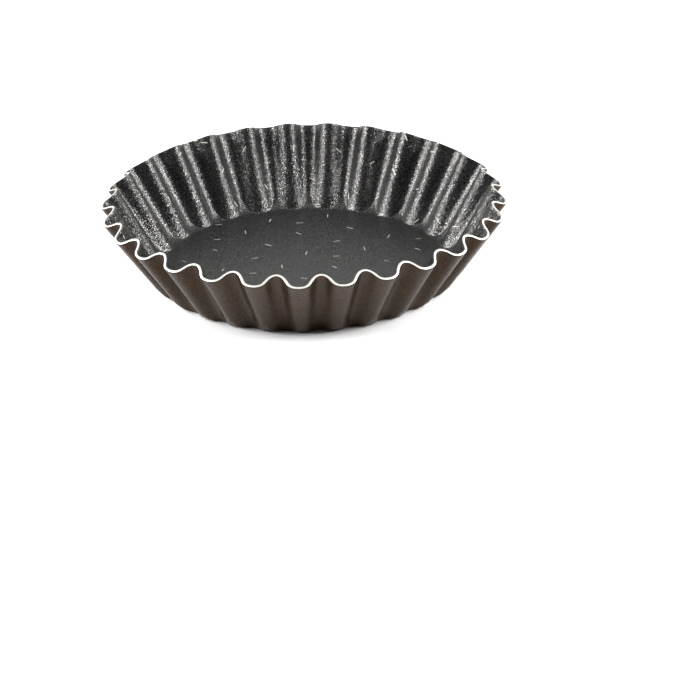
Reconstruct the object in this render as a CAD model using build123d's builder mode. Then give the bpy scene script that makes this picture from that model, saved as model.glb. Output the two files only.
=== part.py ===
from build123d import *
import os
from math import sin, cos, tan, sqrt, pi, radians

# Fluted tartlet pan, 12 cm: one deep-drawn aluminium pressing with a non-stick
# coat inside and a lacquer coat outside.  Millimetres, +Z up, origin at the
# middle of the underside, which is the plane the pan rests on.

# ---------------------------------------------------------------- dimensions
FLUTES = 28               # flutes round the wall
FIRST_CREST = -79.16      # degrees, direction of one outward flute crest

METAL = 0.75              # aluminium sheet
LINING = 0.09             # non-stick coat, inside
COATING = 0.07            # lacquer coat, outside
SHEET = METAL + LINING + COATING

# middle line of the sheet at the cut rim
RIM_R = 60.0              # radius at the flute crests
RIM_WAVE = (1.79173, -0.205257, 0.0219096)   # flute harmonics, radial
RIM_SKEW = 0.1889         # fuller lobes: shift along the rim, in flute phase
RIM_CREST_Z = 21.503      # height of the rim at the crests
RIM_CONE = 0.6275         # the rim is cut square to the leaning wall (rise per mm inwards)

# middle line of the sheet where the wall would meet the resting plane
FOOT_R = 44.90            # radius at the crests
FOOT_WAVE = (1.05, 0.20)  # flute harmonics, radial

# turned corner between floor and wall (outer surface)
CORNER_R = 5.0            # outer corner radius
CORNER_START = 42.54      # the flat floor ends here
CORNER_SLOPE = 47.0       # degrees, the corner runs out as a cone of this slope

Z_LOW, Z_HIGH = -1.0, 26.0     # the forms run past the floor and the rim
STEPS = 8                      # spline spans in one flute

# depths of the four faces below the outermost surface
D_OUT, D_METAL_OUT, D_METAL_IN, D_IN = 0.0, COATING, COATING + METAL, SHEET


# ---------------------------------------------------------------- flute form
def rim_point(a, t):
    """middle of the sheet at the rim, flute phase a (radians), direction t"""
    w = RIM_WAVE
    r = RIM_R - sum(w) + w[0] * cos(a) + w[1] * cos(2 * a) + w[2] * cos(3 * a)
    z = RIM_CREST_Z + RIM_CONE * (RIM_R - r)
    tt = t + RIM_SKEW * sin(2 * a) / FLUTES
    return (r * cos(tt), r * sin(tt), z)


def foot_point(a, t):
    w = FOOT_WAVE
    r = FOOT_R - sum(w) + w[0] * cos(a) + w[1] * cos(2 * a)
    return (r * cos(t), r * sin(t), 0.0)


def wall_point(a, t, z):
    """straight line from foot to rim at one flute phase, taken at height z"""
    p, q = foot_point(a, t), rim_point(a, t)
    v = z / q[2]
    return tuple(p[i] + (q[i] - p[i]) * v for i in range(3))


def wall_normal(a, t, z):
    """unit normal of the wall, pointing away from the axis"""
    h = 1e-4
    p1, p0 = wall_point(a + FLUTES * h, t + h, z), wall_point(a - FLUTES * h, t - h, z)
    q1, q0 = wall_point(a, t, z + 0.01), wall_point(a, t, z - 0.01)
    u = [p1[i] - p0[i] for i in range(3)]
    v = [q1[i] - q0[i] for i in range(3)]
    n = [u[1] * v[2] - u[2] * v[1], u[2] * v[0] - u[0] * v[2], u[0] * v[1] - u[1] * v[0]]
    k = sqrt(n[0] ** 2 + n[1] ** 2 + n[2] ** 2)
    return [c / k for c in n]


def face_point(a, t, depth, z):
    """point at height z on the face lying `depth` below the outermost surface"""
    off = SHEET / 2 - depth
    zz = z
    for _ in range(6):
        p, n = wall_point(a, t, zz), wall_normal(a, t, zz)
        zz += z - (p[2] + off * n[2])
    p, n = wall_point(a, t, zz), wall_normal(a, t, zz)
    return (p[0] + off * n[0], p[1] + off * n[1])


def outline(depth, z):
    """closed fluted outline of one face at height z, with one spline for each flute"""
    w = 2 * pi / FLUTES
    one = [face_point(2 * pi * k / STEPS, w * k / STEPS, depth, z) for k in range(STEPS + 1)]
    r = one[0][0]
    flutes = []
    for j in range(FLUTES):
        b, e = radians(FIRST_CREST) + w * j, radians(FIRST_CREST) + w * ((j + 1) % FLUTES)
        pts = [(x * cos(b) - y * sin(b), x * sin(b) + y * cos(b), z) for x, y in one]
        pts[0], pts[-1] = (r * cos(b), r * sin(b), z), (r * cos(e), r * sin(e), z)
        flutes.append(Spline(*pts, tangents=[(-sin(b), cos(b)), (-sin(e), cos(e))]))
    # The flutes run smoothly into each other, and a sketch would merge them into
    # one edge, so the ring of splines is closed into a face directly.
    return Face(Wire(flutes))


def turned(depth):
    """half section of the turned blank: floor, corner arc, run-out cone"""
    rho, s = CORNER_R - depth, radians(CORNER_SLOPE)
    x1, z1 = CORNER_START + rho * sin(s), depth + rho * (1 - cos(s))
    z2 = 20.0
    x2 = x1 + (z2 - z1) / tan(s)
    mid = (CORNER_START + rho * sin(s / 2), depth + rho * (1 - cos(s / 2)))
    Polyline((0, Z_HIGH + 2), (0, depth), (CORNER_START, depth))
    ThreePointArc((CORNER_START, depth), mid, (x1, z1))
    Polyline((x1, z1), (x2, z2), (x2, Z_HIGH + 2), (0, Z_HIGH + 2))


# ---------------------------------------------------------------- the forms
# Solid plugs bounded by each of the four faces of the sheet, each a fluted
# cone turned down at its foot.
low, high = outline(D_OUT, Z_LOW), outline(D_OUT, Z_HIGH)
with BuildPart() as form_outside:
    loft([low, high], ruled=True, clean=False)
    with BuildSketch(Plane.XZ):
        with BuildLine():
            turned(D_OUT)
        make_face()
    revolve(axis=Axis.Z, mode=Mode.INTERSECT, clean=False)

low, high = outline(D_METAL_OUT, Z_LOW), outline(D_METAL_OUT, Z_HIGH)
with BuildPart() as form_metal_outside:
    loft([low, high], ruled=True, clean=False)
    with BuildSketch(Plane.XZ):
        with BuildLine():
            turned(D_METAL_OUT)
        make_face()
    revolve(axis=Axis.Z, mode=Mode.INTERSECT, clean=False)

low, high = outline(D_METAL_IN, Z_LOW), outline(D_METAL_IN, Z_HIGH)
with BuildPart() as form_metal_inside:
    loft([low, high], ruled=True, clean=False)
    with BuildSketch(Plane.XZ):
        with BuildLine():
            turned(D_METAL_IN)
        make_face()
    revolve(axis=Axis.Z, mode=Mode.INTERSECT, clean=False)

low, high = outline(D_IN, Z_LOW), outline(D_IN, Z_HIGH)
with BuildPart() as form_inside:
    loft([low, high], ruled=True, clean=False)
    with BuildSketch(Plane.XZ):
        with BuildLine():
            turned(D_IN)
        make_face()
    revolve(axis=Axis.Z, mode=Mode.INTERSECT, clean=False)

# The rim is cut square to the leaning wall: a ring of trimming wedges lies on
# that cone, one for each flute, meeting each other at the flute valleys.
with BuildPart() as trim_wedge:
    with BuildSketch(Plane.XZ):
        with BuildLine():
            Polyline((50, RIM_CREST_Z + RIM_CONE * (RIM_R - 50)), (70, RIM_CREST_Z + RIM_CONE * (RIM_R - 70)),
                     (70, Z_HIGH + 4), (50, Z_HIGH + 4), close=True)
        make_face()
    revolve(axis=Axis.Z, revolution_arc=360 / FLUTES)
trims = [trim_wedge.part.rotate(Axis.Z, FIRST_CREST + 360 / FLUTES * (k + 0.5)) for k in range(FLUTES)]

# ---------------------------------------------------------------- the pieces
with BuildPart() as pan_body:
    add(form_metal_outside.part, clean=False)
    add(form_metal_inside.part, mode=Mode.SUBTRACT, clean=False)
    add(trims, mode=Mode.SUBTRACT, clean=False)

with BuildPart() as outer_coating:
    add(form_outside.part, clean=False)
    add(form_metal_outside.part, mode=Mode.SUBTRACT, clean=False)
    add(trims, mode=Mode.SUBTRACT, clean=False)

with BuildPart() as nonstick_lining:
    add(form_metal_inside.part, clean=False)
    add(form_inside.part, mode=Mode.SUBTRACT, clean=False)
    add(trims, mode=Mode.SUBTRACT, clean=False)

os.makedirs("parts", exist_ok=True)
pan_body.part.label = "pan_body"
export_step(pan_body.part, "parts/pan_body.step")
outer_coating.part.label = "outer_coating"
export_step(outer_coating.part, "parts/outer_coating.step")
nonstick_lining.part.label = "nonstick_lining"
export_step(nonstick_lining.part, "parts/nonstick_lining.step")
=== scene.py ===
import math
import random
import bpy
import numpy as np
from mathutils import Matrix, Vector
from mathutils.bvhtree import BVHTree


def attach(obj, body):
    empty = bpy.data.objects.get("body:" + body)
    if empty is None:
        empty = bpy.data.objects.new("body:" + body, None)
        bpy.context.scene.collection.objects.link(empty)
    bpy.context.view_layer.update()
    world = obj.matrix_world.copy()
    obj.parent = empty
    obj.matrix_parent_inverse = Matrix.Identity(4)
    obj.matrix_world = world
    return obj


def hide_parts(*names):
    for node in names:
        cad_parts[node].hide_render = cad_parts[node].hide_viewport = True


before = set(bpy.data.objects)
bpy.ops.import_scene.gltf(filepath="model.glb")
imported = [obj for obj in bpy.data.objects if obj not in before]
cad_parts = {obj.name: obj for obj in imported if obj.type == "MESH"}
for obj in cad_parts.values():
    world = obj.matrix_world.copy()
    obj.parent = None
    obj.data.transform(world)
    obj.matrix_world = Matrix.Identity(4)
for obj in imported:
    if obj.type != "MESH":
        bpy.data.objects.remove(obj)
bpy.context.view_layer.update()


# ------------------------------------------------------------------ the pan's form (mm)
# The same flute and corner rules as the CAD model: straight lines from foot to rim, one
# for each flute phase, offset through the sheet, and turned down round the foot.
FLUTES = 28
FIRST = math.radians(-79.16)
METAL, LINING, COATING = 0.75, 0.09, 0.07
SHEET = METAL + LINING + COATING
RIM_R, RIM_CREST_Z, RIM_CONE, RIM_SKEW = 60.0, 21.503, 0.6275, 0.1889
RIM_WAVE = (1.79173, -0.205257, 0.0219096)
FOOT_R, FOOT_WAVE = 44.90, (1.05, 0.20)
CORNER_R, CORNER_START, CORNER_SLOPE = 5.0, 42.54, math.radians(47.0)
COLS = FLUTES * 26


def rim_point(t):
    a = FLUTES * (t - FIRST)
    w = RIM_WAVE
    r = RIM_R - sum(w) + w[0] * np.cos(a) + w[1] * np.cos(2 * a) + w[2] * np.cos(3 * a)
    z = RIM_CREST_Z + RIM_CONE * (RIM_R - r)
    tt = t + RIM_SKEW * np.sin(2 * a) / FLUTES
    return np.stack([r * np.cos(tt), r * np.sin(tt), z], -1)


def foot_point(t):
    a = FLUTES * (t - FIRST)
    w = FOOT_WAVE
    r = FOOT_R - sum(w) + w[0] * np.cos(a) + w[1] * np.cos(2 * a)
    return np.stack([r * np.cos(t), r * np.sin(t), 0 * t], -1)


def wall_point(t, v):
    """middle of the sheet: v = 0 at the foot line, 1 at the rim"""
    p, q = foot_point(t), rim_point(t)
    return p + (q - p) * np.asarray(v)[..., None]


def wall_normal(t, v):
    h = 1e-4
    v = np.asarray(v)
    u = wall_point(t + h, v) - wall_point(t - h, v)
    w = rim_point(t) - foot_point(t)
    n = np.cross(u, w)
    return n / np.linalg.norm(n, axis=-1, keepdims=True)


def face_point(t, v, depth):
    """the face lying `depth` below the outermost surface"""
    return wall_point(t, v) + (SHEET / 2 - depth) * wall_normal(t, v)


def turned_r(depth, z):
    rho = CORNER_R - depth
    x1 = CORNER_START + rho * math.sin(CORNER_SLOPE)
    z1 = depth + rho * (1 - math.cos(CORNER_SLOPE))
    zc = np.clip(z - depth, 0, rho)
    arc = CORNER_START + np.sqrt(np.clip(rho ** 2 - (rho - zc) ** 2, 0, None))
    return np.where(z < z1, arc, x1 + (z - z1) / math.tan(CORNER_SLOPE))


def junction(t, depth):
    """where each wall line meets the turned corner: the wall parameter v there"""
    lo = np.full(t.shape, -0.08)
    hi = np.full(t.shape, 0.35)
    for _ in range(40):                       # height of the face = depth
        mid = (lo + hi) / 2
        up = face_point(t, mid, depth)[..., 2] > depth
        hi = np.where(up, mid, hi)
        lo = np.where(up, lo, mid)
    lo, hi = (lo + hi) / 2, np.full(t.shape, 0.35)
    for _ in range(40):
        mid = (lo + hi) / 2
        p = face_point(t, mid, depth)
        out = np.hypot(p[..., 0], p[..., 1]) > turned_r(depth, p[..., 2])
        lo = np.where(out, mid, lo)
        hi = np.where(out, hi, mid)
    return (lo + hi) / 2


def profile_rows(t, depth, top_v, n_floor, n_bend, n_wall, r_in, bend):
    """rows of points from the flat floor (circle r_in), round the corner and up the wall"""
    vj = junction(t, depth)
    pj = face_point(t, vj, depth)
    rj, zj = np.hypot(pj[..., 0], pj[..., 1]), pj[..., 2]
    ca, sa = pj[..., 0] / rj, pj[..., 1] / rj
    rho = CORNER_R - depth
    x1 = CORNER_START + rho * math.sin(CORNER_SLOPE)
    z1 = depth + rho * (1 - math.cos(CORNER_SLOPE))
    on_cone = zj > z1
    ang = np.where(on_cone, CORNER_SLOPE, np.arccos(np.clip(1 - (zj - depth) / rho, -1, 1)))
    l_cone = np.where(on_cone, (zj - z1) / math.sin(CORNER_SLOPE), 0)
    l_arc = ang * rho
    l_flat = CORNER_START - r_in

    def below(s):
        """s mm back from the junction along cone, arc and floor"""
        s1 = s - l_cone
        s2 = s1 - l_arc
        th = np.clip((l_arc - s1) / rho, 0, CORNER_SLOPE)
        r_cone = rj - s * math.cos(CORNER_SLOPE)
        z_cone = zj - s * math.sin(CORNER_SLOPE)
        r_arc, z_arc = CORNER_START + rho * np.sin(th), depth + rho * (1 - np.cos(th))
        r = np.where(s1 < 0, r_cone, np.where(s2 < 0, r_arc, CORNER_START - s2))
        z = np.where(s1 < 0, z_cone, np.where(s2 < 0, z_arc, depth + 0 * s))
        return np.stack([r * ca, r * sa, z], -1)

    w_len = np.linalg.norm(rim_point(t) - foot_point(t), axis=-1)

    def above(s):
        return face_point(t, vj + s / w_len, depth)

    total_down = l_cone + l_arc + l_flat
    rows = []
    for k in range(n_floor):
        u = (k / n_floor) ** 0.75
        rows.append(below(total_down + (bend - total_down) * u))
    b0, b1 = below(np.full(t.shape, bend)), above(np.full(t.shape, bend))
    for k in range(n_bend + 1):
        u = k / n_bend
        rows.append((1 - u) ** 2 * b0 + 2 * u * (1 - u) * pj + u * u * b1)
    s_top = (top_v - vj) * w_len
    for k in range(1, n_wall + 1):
        u = k / n_wall
        rows.append(above(bend + (s_top - bend) * u))
    return rows


def mesh_object(name, verts, faces, smooth=True):
    me = bpy.data.meshes.new(name)
    me.from_pydata([tuple(map(float, v)) for v in verts], [], faces)
    me.update()
    me.polygons.foreach_set("use_smooth", [smooth] * len(me.polygons))
    ob = bpy.data.objects.new(name, me)
    bpy.context.scene.collection.objects.link(ob)
    return ob


T = FIRST + np.linspace(0, 2 * math.pi, COLS, endpoint=False)


def rings_to_mesh(rows):
    """joins rings of COLS points with quads"""
    n = COLS
    verts = np.concatenate(rows) / 1000.0
    faces = []
    for i in range(len(rows) - 1):
        for j in range(n):
            k = (j + 1) % n
            faces.append((i * n + j, i * n + k, (i + 1) * n + k, (i + 1) * n + j))
    return verts, faces


def floor_rings(depth, r_in, n):
    """concentric rings from a small centre disc out to r_in"""
    out = []
    for k in range(n):
        r = 0.6 + (r_in - 0.6) * (k / n)
        out.append(np.stack([r * np.cos(T), r * np.sin(T), np.full(COLS, depth)], -1))
    return out


R_IN = 38.0
RIM_ROUND = 0.17
w_len = np.linalg.norm(rim_point(T) - foot_point(T), axis=-1)


def wall_rows(depth, top_mm, bend=0.45, n_wall=30):
    """all rings of one face from the middle of the floor to top_mm below the rim cut"""
    top_v = 1 - top_mm / w_len
    return floor_rings(depth, R_IN, 9) + profile_rows(T, depth, top_v, 7, 6, n_wall, R_IN, bend)


def at_rim(x, y):
    """point of the sheet's edge: x outwards from the middle of the sheet, y along the wall"""
    n = wall_normal(T, np.ones(COLS))
    w = rim_point(T) - foot_point(T)
    w = w / np.linalg.norm(w, axis=-1, keepdims=True)
    return rim_point(T) + x * n + y * w


def closed_shell(name, outer, edge, inner):
    rows = outer + edge + inner[::-1]
    verts, faces = rings_to_mesh(rows)
    n = COLS
    last = len(rows) - 1
    faces.append(tuple(range(n))[::-1])
    faces.append(tuple(last * n + j for j in range(n)))
    return mesh_object(name, verts, faces)


# the metal: its edge is cut square and burnished round at both corners
x_out, x_in = SHEET / 2 - COATING, SHEET / 2 - COATING - METAL
edge = []
for k in range(7):
    b = math.pi / 2 * k / 6
    edge.append(at_rim(x_out - RIM_ROUND + RIM_ROUND * math.cos(b), -RIM_ROUND + RIM_ROUND * math.sin(b)))
edge.append(at_rim((x_out + x_in) / 2, 0.0))
for k in range(7):
    b = math.pi / 2 * (1 - k / 6)
    edge.append(at_rim(x_in + RIM_ROUND - RIM_ROUND * math.cos(b), -RIM_ROUND + RIM_ROUND * math.sin(b)))
body = closed_shell("pan_body_metal", wall_rows(COATING, 0.25), edge, wall_rows(COATING + METAL, 0.25))

# the two coats stop a hair below the cut
COAT_TOP = 0.03
coat = closed_shell("pan_outer_lacquer", wall_rows(0.0, COAT_TOP + 0.05),
                    [at_rim(SHEET / 2 - 0.02, -COAT_TOP)], wall_rows(COATING, COAT_TOP))
lining_inner = wall_rows(SHEET, COAT_TOP + 0.05)
lining = closed_shell("pan_nonstick_lining", wall_rows(COATING + METAL, COAT_TOP),
                      [at_rim(-SHEET / 2 + 0.02, -COAT_TOP)], lining_inner)

# ------------------------------------------------------------------ flecks
# Short pale dashes in the non-stick coat: (direction deg, height mm, angle deg in the
# wall, length mm) on the wall, and (x, y, angle, length) on the floor.
WALL_FLECKS = [
    (109.5, 18.0, 112, 2.3), (101.8, 12.7, -173, 1.8), (92.8, 17.2, 116, 2.4), (118.9, 13.9, 143, 2.3),
    (86.6, 7.9, -165, 2.4), (78.1, 16.0, -127, 2.4), (65.7, 13.9, 162, 1.9), (56.1, 13.2, -136, 2.6),
    (103.7, 7.1, -105, 2.2), (117.1, 4.2, -104, 2.0), (72.6, 4.3, 53, 2.1), (70.1, 2.3, -151, 2.0),
    (61.8, 4.5, 128, 1.7), (122.4, 22.0, 176, 2.3), (133.0, 21.5, 148, 1.7), (145.8, 12.0, -81, 2.3),
    (134.0, 10.0, -91, 2.4), (55.0, 22.6, -113, 2.0), (43.6, 21.1, 166, 2.2), (39.8, 2.3, 136, 1.9),
    (27.8, 5.2, -139, 2.4), (14.9, 7.3, 164, 2.2), (145.6, 1.4, 168, 1.8), (160.3, 2.7, 164, 1.7),
    (-23.0, 22.0, 108, 1.2), (-159.6, 21.0, -94, 1.2), (44.4, 10.4, 146, 1.5)]
FLOOR_FLECKS = [
    (-26.1, 32.8, 8, 2.3), (-26.5, 21.7, 4, 2.3), (-17.9, 26.5, 94, 2.6), (-10.4, 34.9, 74, 2.2),
    (-11.1, 16.7, -36, 2.6), (-1.8, 24.7, -44, 2.2), (-1.4, 32.5, 4, 2.3), (7.2, 37.2, 89, 2.3),
    (13.8, 27.7, -31, 2.3), (9.7, 18.2, 18, 2.3), (25.4, 20.8, 75, 2.6), (17.9, 12.3, -84, 2.5),
    (-27.1, 14.0, -41, 2.1), (0.4, 10.1, 78, 2.7), (9.3, 7.2, 4, 2.0), (33.8, 10.8, -36, 2.2),
    (-15.1, 7.3, 15, 2.2), (-36.4, 6.3, -35, 2.1), (24.4, 2.8, -27, 2.0), (-7.0, 0.6, -86, 2.6),
    (8.7, -0.7, -44, 2.1), (-24.6, -0.5, 74, 2.3), (-15.7, -3.6, 4, 2.2), (-0.5, -8.3, -22, 2.1),
    (34.4, 18.3, 4, 2.0), (23.3, 36.1, -27, 2.1)]

lin_verts = [Vector(v) for v in (np.concatenate(lining_inner) / 1000.0)]
lin_faces = []
for i in range(len(lining_inner) - 1):
    for j in range(COLS):
        k = (j + 1) % COLS
        lin_faces.append((i * COLS + j, i * COLS + k, (i + 1) * COLS + k, (i + 1) * COLS + j))
tree = BVHTree.FromPolygons(lin_verts, lin_faces)

fleck_verts, fleck_faces = [], []


def add_fleck(centre, h, s, n, angle, length, width=0.27):
    """a thin chip following the surface: h, s tangent axes, n towards the food side"""
    ca, sa = math.cos(math.radians(angle)), math.sin(math.radians(angle))
    ax, ay = ca * h + sa * s, -sa * h + ca * s
    nx, ny = 12, 4
    top, bot = [], []
    for i in range(nx + 1):
        u = i / nx * 2 - 1
        taper = (1 - abs(u) ** 6) ** 0.5 * 0.96 + 0.04
        for j in range(ny + 1):
            w = j / ny * 2 - 1
            p = centre + ax * (u * length / 2) + ay * (w * width / 2 * taper)
            hit = tree.ray_cast(Vector((p + n * 1.2) / 1000.0), Vector(-n))
            if hit[0] is None:
                return False
            q = np.array(hit[0]) * 1000.0
            nn = np.array(hit[1])
            if nn @ n < 0:
                nn = -nn
            top.append(q + nn * (0.016 * (1 - 0.6 * abs(w) ** 4)))
            bot.append(q - nn * 0.03)
    base = len(fleck_verts)
    fleck_verts.extend(top + bot)
    m, r = (nx + 1) * (ny + 1), ny + 1
    for i in range(nx):
        for j in range(ny):
            a, b, c, d = i * r + j, (i + 1) * r + j, (i + 1) * r + j + 1, i * r + j + 1
            fleck_faces.append((base + a, base + b, base + c, base + d))
            fleck_faces.append((base + m + d, base + m + c, base + m + b, base + m + a))
    for i in range(nx):
        a, b = i * r, (i + 1) * r
        fleck_faces.append((base + a, base + m + a, base + m + b, base + b))
        a, b = i * r + ny, (i + 1) * r + ny
        fleck_faces.append((base + b, base + m + b, base + m + a, base + a))
    for j in range(ny):
        a, b = j, j + 1
        fleck_faces.append((base + b, base + m + b, base + m + a, base + a))
        a, b = nx * r + j, nx * r + j + 1
        fleck_faces.append((base + a, base + m + a, base + m + b, base + b))
    return True


Z = np.array([0, 0, 1.0])
for x, y, ang, ln in FLOOR_FLECKS:
    add_fleck(np.array([x, y, SHEET]), np.array([1.0, 0, 0]), np.array([0, 1.0, 0]), Z, ang, ln)


def wall_site(th, z):
    """surface point of the lining at direction th (deg) and height z, with its tangent axes"""
    d = np.array([math.cos(math.radians(th)), math.sin(math.radians(th)), 0])
    hit = tree.ray_cast(Vector(np.array([0, 0, z]) / 1000.0), Vector(d))
    if hit[0] is None:
        return None
    n = np.array(hit[1])
    if n @ d > 0:
        n = -n
    h = np.cross(Z, -n)
    h /= np.linalg.norm(h)
    s = np.cross(-n, h)
    return np.array(hit[0]) * 1000.0, h, s, n


for th, z, ang, ln in WALL_FLECKS:
    site = wall_site(th, z)
    if site:
        add_fleck(*site, ang, ln)

# the rest of the wall and the front of the floor carry the same scatter
rng = random.Random(28)
placed = [np.array(p[:2]) for p in FLOOR_FLECKS]
while len(placed) < len(FLOOR_FLECKS) + 14:
    x, y = rng.uniform(-41, 41), rng.uniform(-41, -4)
    if math.hypot(x, y) < 41 and y < -8 and all(np.hypot(*(q - (x, y))) > 6.5 for q in placed):
        placed.append(np.array((x, y)))
        add_fleck(np.array([x, y, SHEET]), np.array([1.0, 0, 0]), np.array([0, 1.0, 0]), Z,
                  rng.uniform(0, 180), rng.uniform(2.0, 2.4))
sites = []
while len(sites) < 34:
    th, z = rng.uniform(-160, -20), rng.uniform(2.5, 21.0)
    if all(abs(th - q[0]) * 0.9 + abs(z - q[1]) * 1.2 > 7.5 for q in sites):
        sites.append((th, z))
        site = wall_site(th, z)
        if site:
            add_fleck(*site, rng.uniform(0, 180), rng.uniform(2.0, 2.4))
flecks = mesh_object("pan_lining_flecks", np.array(fleck_verts) / 1000.0, fleck_faces)


# ------------------------------------------------------------------ materials
def new_material(name):
    mat = bpy.data.materials.new(name)
    mat.use_nodes = True
    nt = mat.node_tree
    nt.nodes.clear()
    out = nt.nodes.new("ShaderNodeOutputMaterial")
    bsdf = nt.nodes.new("ShaderNodeBsdfPrincipled")
    nt.links.new(bsdf.outputs[0], out.inputs[0])
    return mat, nt, bsdf


def node(nt, kind, **sockets):
    n = nt.nodes.new(kind)
    for k, v in sockets.items():
        n.inputs[k].default_value = v
    return n


def ramp(nt, src, stops):
    r = nt.nodes.new("ShaderNodeValToRGB")
    while len(r.color_ramp.elements) < len(stops):
        r.color_ramp.elements.new(0.5)
    for e, (p, c) in zip(r.color_ramp.elements, stops):
        e.position = p
        e.color = (*c, 1) if len(c) == 3 else c
    nt.links.new(src, r.inputs[0])
    return r.outputs[0]


def coords(nt):
    return nt.nodes.new("ShaderNodeTexCoord").outputs["Object"]


def noise(nt, vec, scale, detail=2.0, rough=0.5):
    n = nt.nodes.new("ShaderNodeTexNoise")
    n.inputs["Scale"].default_value = scale
    n.inputs["Detail"].default_value = detail
    n.inputs["Roughness"].default_value = rough
    nt.links.new(vec, n.inputs["Vector"])
    return n.outputs["Fac"]


def pebbled(nt, vec, base, scale, amount, detail=2.0):
    """tilts the shading normal in a fine random grain fixed to the surface"""
    n = nt.nodes.new("ShaderNodeTexNoise")
    n.inputs["Scale"].default_value = scale
    n.inputs["Detail"].default_value = detail
    n.inputs["Roughness"].default_value = 0.6
    nt.links.new(vec, n.inputs["Vector"])
    sub = nt.nodes.new("ShaderNodeVectorMath")
    sub.operation = "SUBTRACT"
    sub.inputs[1].default_value = (0.5, 0.5, 0.5)
    nt.links.new(n.outputs["Color"], sub.inputs[0])
    sc_ = nt.nodes.new("ShaderNodeVectorMath")
    sc_.operation = "SCALE"
    sc_.inputs["Scale"].default_value = amount
    nt.links.new(sub.outputs[0], sc_.inputs[0])
    add = nt.nodes.new("ShaderNodeVectorMath")
    add.operation = "ADD"
    nt.links.new(sc_.outputs[0], add.inputs[0])
    nt.links.new(base, add.inputs[1])
    nrm = nt.nodes.new("ShaderNodeVectorMath")
    nrm.operation = "NORMALIZE"
    nt.links.new(add.outputs[0], nrm.inputs[0])
    return nrm.outputs[0]


# non-stick lining: dark coat with a fine mica sparkle in it
mat, nt, b = new_material("nonstick lining")
v = coords(nt)
grain = noise(nt, v, 3300, 1.0, 0.5)
broad = noise(nt, v, 55, 2.0, 0.5)
flake = ramp(nt, grain, [(0.555, (0, 0, 0)), (0.63, (1, 1, 1))])
col = ramp(nt, grain, [(0.38, (0.0035, 0.0035, 0.0042)), (0.54, (0.0060, 0.0060, 0.0066)), (0.63, (0.125, 0.121, 0.114))])
nt.links.new(col, b.inputs["Base Color"])
nt.links.new(flake, b.inputs["Metallic"])
rgh = nt.nodes.new("ShaderNodeMapRange")
rgh.inputs["From Min"].default_value = 0.3
rgh.inputs["From Max"].default_value = 0.7
rgh.inputs["To Min"].default_value = 0.24
rgh.inputs["To Max"].default_value = 0.33
nt.links.new(broad, rgh.inputs["Value"])
nt.links.new(rgh.outputs[0], b.inputs["Roughness"])
bump = nt.nodes.new("ShaderNodeBump")
bump.inputs["Strength"].default_value = 0.3
bump.inputs["Distance"].default_value = 0.0001
nt.links.new(grain, bump.inputs["Height"])
nt.links.new(pebbled(nt, v, bump.outputs[0], 3600, 0.8, 0.0), b.inputs["Normal"])
b.inputs["IOR"].default_value = 1.5
b.inputs["Specular IOR Level"].default_value = 0.30
lining.data.materials.append(mat)

# outer lacquer: satin brown with a fine mottle
mat, nt, b = new_material("brown lacquer")
v = coords(nt)
grain = noise(nt, v, 2300, 1.5, 0.55)
broad = noise(nt, v, 45, 2.0, 0.5)
col = ramp(nt, grain, [(0.34, (0.0060, 0.0028, 0.0010)), (0.50, (0.0150, 0.0076, 0.0031)),
                       (0.66, (0.0340, 0.0190, 0.0090))])
nt.links.new(col, b.inputs["Base Color"])
rgh = nt.nodes.new("ShaderNodeMapRange")
rgh.inputs["From Min"].default_value = 0.3
rgh.inputs["From Max"].default_value = 0.7
rgh.inputs["To Min"].default_value = 0.28
rgh.inputs["To Max"].default_value = 0.36
nt.links.new(broad, rgh.inputs["Value"])
nt.links.new(rgh.outputs[0], b.inputs["Roughness"])
bump = nt.nodes.new("ShaderNodeBump")
bump.inputs["Strength"].default_value = 0.25
bump.inputs["Distance"].default_value = 0.00006
nt.links.new(grain, bump.inputs["Height"])
nt.links.new(pebbled(nt, v, bump.outputs[0], 2600, 0.30, 0.0), b.inputs["Normal"])
b.inputs["IOR"].default_value = 1.5
b.inputs["Specular IOR Level"].default_value = 0.25
b.inputs["Specular Tint"].default_value = (1.0, 0.74, 0.56, 1)
coat.data.materials.append(mat)

# bare aluminium edge
mat, nt, b = new_material("bare aluminium")
v = coords(nt)
grain = noise(nt, v, 900, 3.0, 0.6)
col = ramp(nt, grain, [(0.3, (0.58, 0.565, 0.54)), (0.7, (0.70, 0.685, 0.66))])
nt.links.new(col, b.inputs["Base Color"])
b.inputs["Metallic"].default_value = 1.0
rgh = nt.nodes.new("ShaderNodeMapRange")
rgh.inputs["To Min"].default_value = 0.38
rgh.inputs["To Max"].default_value = 0.55
nt.links.new(grain, rgh.inputs["Value"])
nt.links.new(rgh.outputs[0], b.inputs["Roughness"])
body.data.materials.append(mat)

# flecks: one pale material split by height into a brighter wall copy (painted light) and a darker floor copy
# (painted shade)
mat, nt, b = new_material("pale flecks")
v = coords(nt)
g = noise(nt, v, 700, 2.0, 0.5)
# painted light: the wall flecks are drawn brighter than the same flecks on the floor, which carry painted
# shade
wall_fleck_painted_light = ramp(nt, g, [(0.3, (0.42, 0.40, 0.35)), (0.7, (0.66, 0.63, 0.56))])
floor_fleck_painted_shade = ramp(nt, g, [(0.3, (0.20, 0.19, 0.165)), (0.7, (0.36, 0.34, 0.30))])
split = nt.nodes.new("ShaderNodeSeparateXYZ")
nt.links.new(v, split.inputs[0])
# painted light by height: 0 on the floor gives the darker painted shade copy, 1 up the wall gives the
# brighter painted light copy
height = nt.nodes.new("ShaderNodeMapRange")
height.inputs["From Min"].default_value = 0.0012
height.inputs["From Max"].default_value = 0.0030
nt.links.new(split.outputs["Z"], height.inputs["Value"])
mix = nt.nodes.new("ShaderNodeMix")
mix.data_type = "RGBA"
nt.links.new(height.outputs[0], mix.inputs["Factor"])
nt.links.new(floor_fleck_painted_shade, mix.inputs[6])
nt.links.new(wall_fleck_painted_light, mix.inputs[7])
nt.links.new(mix.outputs[2], b.inputs["Base Color"])
b.inputs["Roughness"].default_value = 0.45
flecks.data.materials.append(mat)

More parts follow.
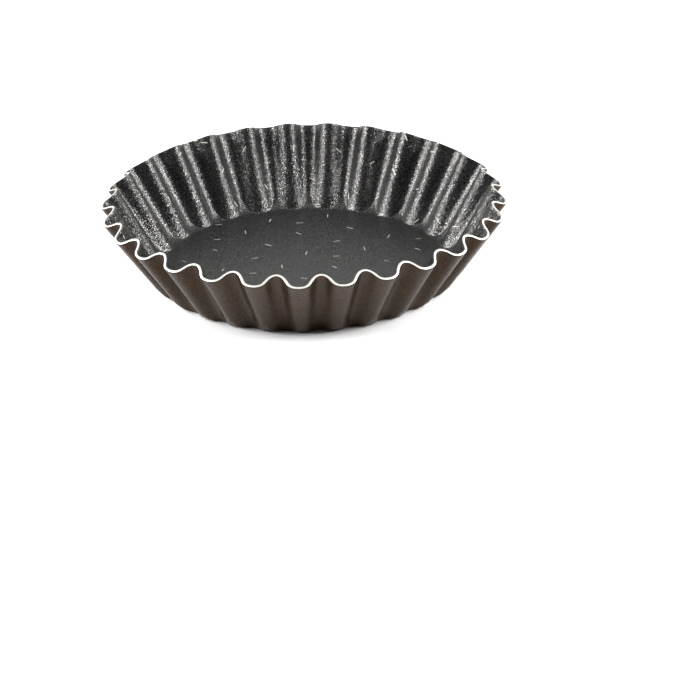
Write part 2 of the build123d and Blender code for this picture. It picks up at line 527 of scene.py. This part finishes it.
for piece, nodename, slot in ((body, "pan_body", "bare_aluminium"), (coat, "outer_coating", "lacquer_brown"),
                              (lining, "nonstick_lining", "nonstick_grey")):
    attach(piece, "root")
    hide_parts(nodename)
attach(flecks, "root")
if "lining_flecks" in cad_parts:
    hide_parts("lining_flecks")

# ------------------------------------------------------------------ floor, light, camera
me = bpy.data.meshes.new("floor")
S = 6.0
me.from_pydata([(-S, -S, 0), (S, -S, 0), (S, S, 0), (-S, S, 0)], [], [(0, 1, 2, 3)])
floor = bpy.data.objects.new("floor", me)
bpy.context.scene.collection.objects.link(floor)
mat, nt, b = new_material("pale floor")
b.inputs["Base Color"].default_value = (0.82, 0.82, 0.82, 1)
b.inputs["Roughness"].default_value = 0.8
b.inputs["Specular IOR Level"].default_value = 0.2
floor.data.materials.append(mat)

world = bpy.data.worlds.new("studio")
bpy.context.scene.world = world
world.use_nodes = True
wn = world.node_tree
wn.nodes.clear()
wo = wn.nodes.new("ShaderNodeOutputWorld")
bg = wn.nodes.new("ShaderNodeBackground")
wn.links.new(bg.outputs[0], wo.inputs[0])
tc = wn.nodes.new("ShaderNodeTexCoord")
sep = wn.nodes.new("ShaderNodeSeparateXYZ")
wn.links.new(tc.outputs["Generated"], sep.inputs[0])
mr = wn.nodes.new("ShaderNodeMapRange")
mr.inputs["From Min"].default_value = -0.3
mr.inputs["From Max"].default_value = 0.75
mr.inputs["To Min"].default_value = 0.12
mr.inputs["To Max"].default_value = 1.2
mr.interpolation_type = "SMOOTHSTEP"
wn.links.new(sep.outputs["Y"], mr.inputs["Value"])
top = wn.nodes.new("ShaderNodeMapRange")
top.inputs["From Min"].default_value = 0.72
top.inputs["From Max"].default_value = 1.0
top.inputs["To Min"].default_value = 0.0
top.inputs["To Max"].default_value = 1.1
top.interpolation_type = "SMOOTHSTEP"
wn.links.new(sep.outputs["Z"], top.inputs["Value"])
add = wn.nodes.new("ShaderNodeMath")
add.operation = "ADD"
wn.links.new(mr.outputs[0], add.inputs[0])
wn.links.new(top.outputs[0], add.inputs[1])
wn.links.new(add.outputs[0], bg.inputs["Strength"])
bg.inputs["Color"].default_value = (1, 0.99, 0.98, 1)


def area(name, az, el, dist, sx, sy, power, color=(1, 1, 1)):
    """softbox: az 0 towards -Y, + towards +X; aimed at the pan"""
    a, e = math.radians(az), math.radians(el)
    p = Vector((math.sin(a) * math.cos(e), -math.cos(a) * math.cos(e), math.sin(e))) * dist
    li = bpy.data.lights.new(name, "AREA")
    li.shape = "RECTANGLE"
    li.size, li.size_y = sx, sy
    li.energy = power
    li.color = color
    ob = bpy.data.objects.new(name, li)
    ob.location = p
    ob.rotation_mode = "QUATERNION"
    ob.rotation_quaternion = p.to_track_quat("Z", "Y")
    bpy.context.scene.collection.objects.link(ob)
    return ob


area("left_box", -85, 32, 1.2, 0.80, 0.50, 31)
area("right_box", 84, 35, 1.2, 0.80, 0.46, 28)

cam_data = bpy.data.cameras.new("camera")
cam = bpy.data.objects.new("camera", cam_data)
bpy.context.scene.collection.objects.link(cam)
bpy.context.scene.camera = cam
cam_data.sensor_width = 36.0
cam_data.lens = 4970.4 / 700 * 36.0
cam_data.clip_start, cam_data.clip_end = 0.05, 60
E, D, ROLL = 0.41215, 1.4753, -0.0270465
back = Vector((0, -math.cos(E), math.sin(E)))
cam.location = Vector((0, 0, 0.0225)) + back * D
# aim: the middle of the rim plane appears at (303.6, 200.5) in a 700 x 700 frame
right = Vector((1, 0, 0))
up = back.cross(right)
cr, sr = math.cos(ROLL), math.sin(ROLL)
# rotate so that image x is to the right and y is up, with the roll
r2 = right * cr + up * sr
u2 = -right * sr + up * cr
du, dv = (350 - 303.622) / 4970.4, -(350 - 200.523) / 4970.4
fwd = (-back + r2 * du + u2 * dv).normalized()
zc = -fwd
xc = (r2 - zc * r2.dot(zc)).normalized()
yc = zc.cross(xc)
cam.rotation_mode = "QUATERNION"
from mathutils import Matrix
cam.rotation_quaternion = Matrix((xc, yc, zc)).transposed().to_quaternion()

sc = bpy.context.scene
sc.view_settings.view_transform = "Standard"
sc.view_settings.look = "None"
